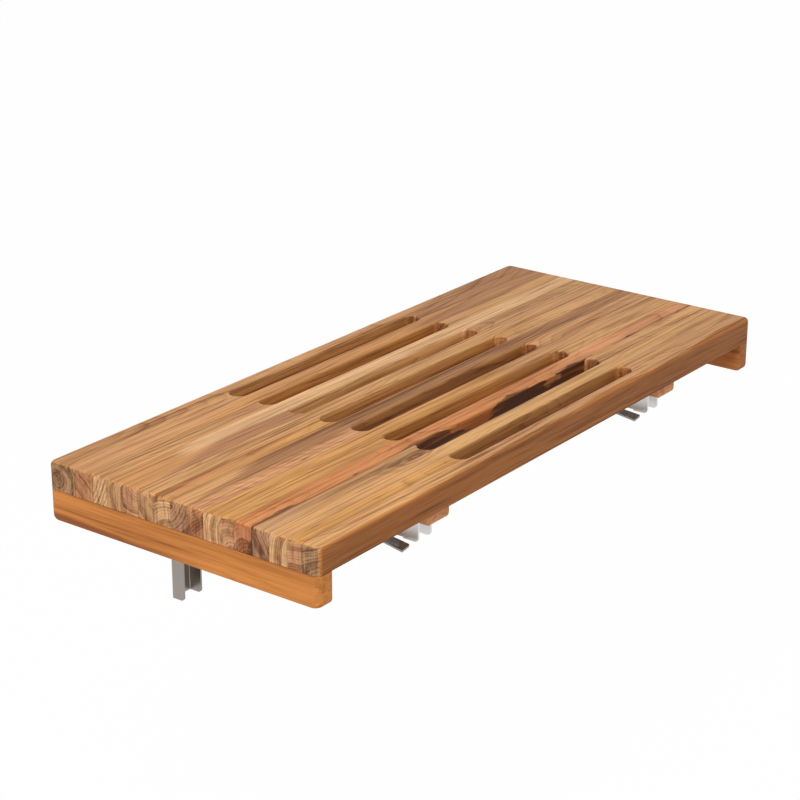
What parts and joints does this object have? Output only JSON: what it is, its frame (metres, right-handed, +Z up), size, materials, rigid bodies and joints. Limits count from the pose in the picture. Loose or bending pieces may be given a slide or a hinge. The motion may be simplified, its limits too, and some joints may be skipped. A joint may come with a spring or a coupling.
{
  "type": "folding shower bench",
  "caption": "Wall-hung folding shower bench: a slotted teak seat with end aprons on stainless brackets that fold down flat.",
  "frame": {"origin": "centre of the four outer wall-screw holes, on the wall plane, midway between the two brackets", "axes": "+X along the seat, to the right for someone who faces the wall; +Y into the wall, so the seat lies on the -Y side; +Z up"},
  "size_m": [0.711, 0.3066, 0.193],
  "materials": {
    "teak": "oiled edge-glued strips of varied teak, satin",
    "dark_teak": "oiled orange-brown teak with fine dark grain, satin",
    "brushed_stainless": "bent stainless sheet, satin",
    "bright_stainless": "turned stainless, smooth",
    "white_nylon": "plain moulded nylon"
  },
  "bodies": {
    "wall": {"left_wall_channel": "brushed_stainless", "right_wall_channel": "brushed_stainless", "left_corner_pin": "bright_stainless", "right_corner_pin": "bright_stainless", "left_brace_pin": "bright_stainless", "right_brace_pin": "bright_stainless", "corner_washers": "white_nylon", "brace_spacers": "bright_stainless"},
    "seat": {"seat_board": "teak", "left_apron": "dark_teak", "right_apron": "dark_teak", "left_batten": "dark_teak", "right_batten": "dark_teak", "left_arm": "brushed_stainless", "right_arm": "brushed_stainless", "left_lever_rivet": "bright_stainless", "right_lever_rivet": "bright_stainless", "left_lever_spring": "bright_stainless", "right_lever_spring": "bright_stainless", "arm_screws": "bright_stainless", "batten_screws": "bright_stainless", "apron_dowels": "dark_teak"},
    "left_brace": {"left_brace": "brushed_stainless", "left_slide_pin": "bright_stainless"},
    "right_brace": {"right_brace": "brushed_stainless", "right_slide_pin": "bright_stainless"},
    "left_lever": {"left_lever": "brushed_stainless"},
    "right_lever": {"right_lever": "brushed_stainless"}
  },
  "joints": [
    {"name": "seat_fold", "type": "hinge", "parent": "wall", "child": "seat", "pos_m": [0, -0.0092, 0.0704], "axis": [1, 0, 0], "range_deg": [0, 90]},
    {"name": "left_brace_pivot", "type": "hinge", "parent": "wall", "child": "left_brace", "pos_m": [-0.19, -0.0092, -0.03], "axis": [1, 0, 0], "range_deg": [0, 129.6]},
    {"name": "right_brace_pivot", "type": "hinge", "parent": "wall", "child": "right_brace", "pos_m": [0.19, -0.0092, -0.03], "axis": [1, 0, 0], "range_deg": [0, 129.6]},
    {"name": "left_lever_squeeze", "type": "hinge", "parent": "seat", "child": "left_lever", "pos_m": [-0.19, -0.1992, 0.0822], "axis": [0, 0, 1], "range_deg": [0, 3.2], "stiffness_Nm_per_rad": 8, "springref_deg": -2.86, "deforming": ["left_lever_spring"]},
    {"name": "right_lever_squeeze", "type": "hinge", "parent": "seat", "child": "right_lever", "pos_m": [0.19, -0.1992, 0.0822], "axis": [0, 0, 1], "range_deg": [0, 3.2], "stiffness_Nm_per_rad": 8, "springref_deg": -2.86, "deforming": ["right_lever_spring"]}
  ],
  "couplings": [
    {"joint": "left_brace_pivot", "follows": "seat_fold", "ratio": 1.4384},
    {"joint": "right_brace_pivot", "follows": "seat_fold", "ratio": 1.4384}
  ]
}
